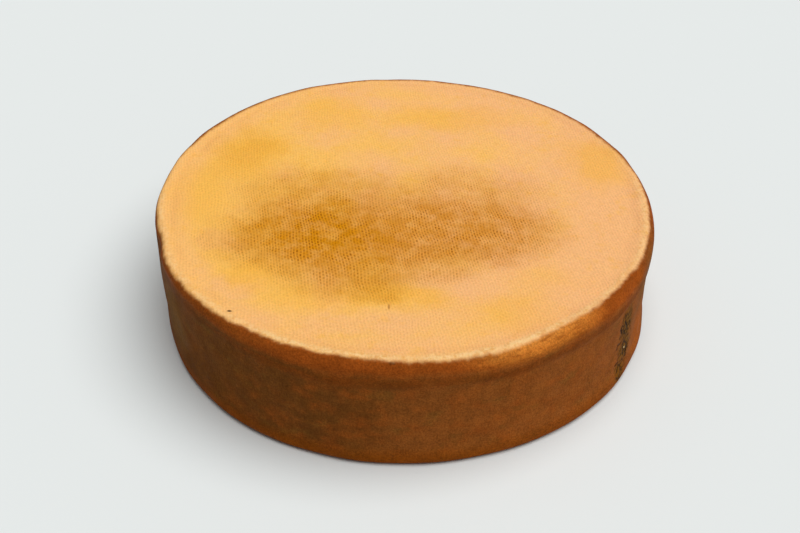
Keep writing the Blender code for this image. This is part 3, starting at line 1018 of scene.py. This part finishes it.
def scarred(tree, where, round_heel, zones, colour, spot, stroke):
    """The scar on the right: olive patches whose skin has cracked open, their pocks and cracks
    painted dark as shade. Also the cracks' mask.
    """
    torn = warped(tree, round_heel, *SCAR_SWIRL)
    patch = 0.0
    for middle, reach, strength in SCAR_PATCHES:
        reach = on_heel_map(*reach)[:2] + (1.0,)
        mask = spot_at(tree, spot, torn, on_heel_map(*middle), reach, strength)
        patch = calc(tree, "MAXIMUM", mask, patch)
    patch = product(tree, patch, zones["heel"])
    mottled = rise(tree, cloud(tree, where, *SCAR_NOISE), *SCAR_MOTTLING)
    colour = blend(tree, product(tree, patch, mottled), colour, SCAR_OLIVE)
    flakes = rise(tree, cloud(tree, where, *FLAKE_NOISE), *SCAR_FLAKES)
    colour = blend(tree, product(tree, patch, flakes, FLAKE_SHARE), colour, BEAD_TOP)
    # Painted shade in the scar's pocks.
    pocks = rise(tree, cloud(tree, where, *POCK_NOISE), *SCAR_POCKS)
    colour = blend(tree, product(tree, patch, pocks), colour, HOLLOW_SHADE)
    shaky = round_heel
    for swirl in CRACK_SWIRLS:
        shaky = warped(tree, shaky, *swirl)
    cracks = product(tree, crazing(tree, where, shaky), patch)
    for *ends, width, darkness in SCAR_CRACKS:
        mask = stroke_at(tree, stroke, shaky, ends, CRACK_WIDER * width / 1000, darkness)
        cracks = calc(tree, "MAXIMUM", mask, cracks)
    cracks = product(tree, cracks, rise(tree, cloud(tree, where, *CRACK_NOISE), *CRACK_GAPS))
    # Painted shade in the cracks.
    colour = blend(tree, cracks, colour, HOLLOW_SHADE)
    *ends, width, strength = SCAR_SPECK
    speck = stroke_at(tree, stroke, shaky, ends, width / 1000, strength)
    return blend(tree, speck, colour, SPECK_CREAM), cracks


def crazing(tree, where, shaky):
    """Fine cracks along the edges of Voronoi cells, in patches."""
    inputs = {"Vector": shaky, "Scale": 1 / CRAZING_CELL}
    settings = {"feature": "DISTANCE_TO_EDGE", "voronoi_dimensions": "2D"}
    away = place(tree, "ShaderNodeTexVoronoi", inputs, **settings).outputs["Distance"]
    patches = rise(tree, cloud(tree, where, *CRAZING_NOISE), *CRAZING_PATCHES)
    return product(tree, rise(tree, away, *CRAZING_LINE), patches)


def marked(tree, where, colour, spot):
    """The pin hole and the short stroke on the upper face, and the nick below the crest; the hole
    and the nick are painted dark as shade.
    """
    for mark, tint in ((PIN_HOLE, HOLLOW_SHADE), (STROKE, STROKE_BROWN), (NICK, HOLLOW_SHADE)):
        colour = blend(tree, spot_at(tree, spot, where, *mark), colour, tint)
    return colour


def rind_relief(tree, where, zones, prints, cracks):
    """The normal of the rind: print, crumbs, grain and cracks, as heights in millimetres."""
    face = product(tree, prints["face"]["Relief"], FACE_PRINT_HEIGHT)
    heel = product(tree, prints["heel"]["Relief"], HEEL_PRINT_HEIGHT)
    inputs = {0: zones["heel"], 2: face, 3: heel}
    print_height = place(tree, "ShaderNodeMix", inputs, data_type="FLOAT").outputs[0]
    crumb = product(tree, cloud(tree, where, *CRUMB_NOISE), CRUMB_HEIGHT)
    grain = product(tree, cloud(tree, where, *SKIN_NOISE), GRAIN_HEIGHT)
    height = calc(tree, "MULTIPLY_ADD", crumb, zones["crest"], print_height)
    height = calc(tree, "ADD", height, grain)
    height = calc(tree, "MULTIPLY_ADD", cracks, CRACK_HEIGHT, height)
    inputs = {"Strength": 1.0, "Distance": 0.001, "Height": height}
    return place(tree, "ShaderNodeBump", inputs).outputs["Normal"]


def rind_roughness(tree, where, zones):
    """Satin, a little moister in clouds and rougher on the worn crest."""
    moist = rise(tree, cloud(tree, where, *MOIST_NOISE), *ROUGHNESS)
    return calc(tree, "MULTIPLY_ADD", zones["crest"], CREST_ROUGHER, moist)


def studio_floor():
    """A plain pale floor."""
    mesh = bpy.data.meshes.new("floor")
    half = FLOOR_SIDE / 2
    corners = [(-half, -half, 0), (half, -half, 0), (half, half, 0), (-half, half, 0)]
    mesh.from_pydata(corners, [], [(0, 1, 2, 3)])
    material = bpy.data.materials.new("floor")
    material.use_nodes = True
    shader = material.node_tree.nodes["Principled BSDF"]
    shader.inputs["Base Color"].default_value = FLOOR_WHITE
    shader.inputs["Roughness"].default_value = 0.9
    shader.inputs["Specular IOR Level"].default_value = 0.0
    mesh.materials.append(material)
    floor = bpy.data.objects.new("floor", mesh)
    bpy.context.scene.collection.objects.link(floor)


def studio_light():
    """A high and very soft key from the front right, and a dim even sky with a pale backdrop."""
    world = bpy.data.worlds.new("studio")
    world.use_nodes = True
    tree = world.node_tree
    sky = tree.nodes["Background"]
    sky.inputs["Color"].default_value = (1.0, 1.0, 1.0, 1.0)
    sky.inputs["Strength"].default_value = SKY_STRENGTH
    backdrop = place(tree, "ShaderNodeBackground", {"Color": BACKDROP, "Strength": 1.0})
    seen = place(tree, "ShaderNodeLightPath").outputs["Is Camera Ray"]
    both = place(tree, "ShaderNodeMixShader", {0: seen, 1: sky.outputs[0], 2: backdrop.outputs[0]})
    tree.links.new(both.outputs[0], tree.nodes["World Output"].inputs["Surface"])
    bpy.context.scene.world = world
    key = bpy.data.lights.new("key", "SUN")
    key.energy = KEY_STRENGTH
    key.angle = KEY_SOFTNESS
    lamp = bpy.data.objects.new("key", key)
    level = math.cos(KEY_HIGH)
    towards = Vector((level * math.cos(KEY_ROUND), level * math.sin(KEY_ROUND), math.sin(KEY_HIGH)))
    lamp.rotation_euler = towards.to_track_quat("Z", "Y").to_euler()
    bpy.context.scene.collection.objects.link(lamp)


def studio_camera():
    """The camera looks down at the aim from the front, turned a little about its own axis."""
    data = bpy.data.cameras.new("camera")
    data.sensor_width = SENSOR
    data.lens = CAMERA_LENS / PICTURE_WIDTH * SENSOR
    camera = bpy.data.objects.new("camera", data)
    forward = Vector((0, math.cos(CAMERA_DOWN), -math.sin(CAMERA_DOWN)))
    stand = Matrix.Translation(Vector(CAMERA_AIM) - forward * CAMERA_AWAY)
    tilt = Euler((math.pi / 2 - CAMERA_DOWN, 0, 0)).to_matrix().to_4x4()
    camera.matrix_world = stand @ tilt @ Matrix.Rotation(CAMERA_ROLL, 4, "Z")
    bpy.context.scene.collection.objects.link(camera)
    bpy.context.scene.camera = camera


def main():
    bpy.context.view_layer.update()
    wheel = wheel_rind(rind_material())
    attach(wheel, "root")
    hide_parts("wheel")
    studio_floor()
    studio_light()
    studio_camera()
    bpy.context.scene.view_settings.view_transform = "Standard"


main()
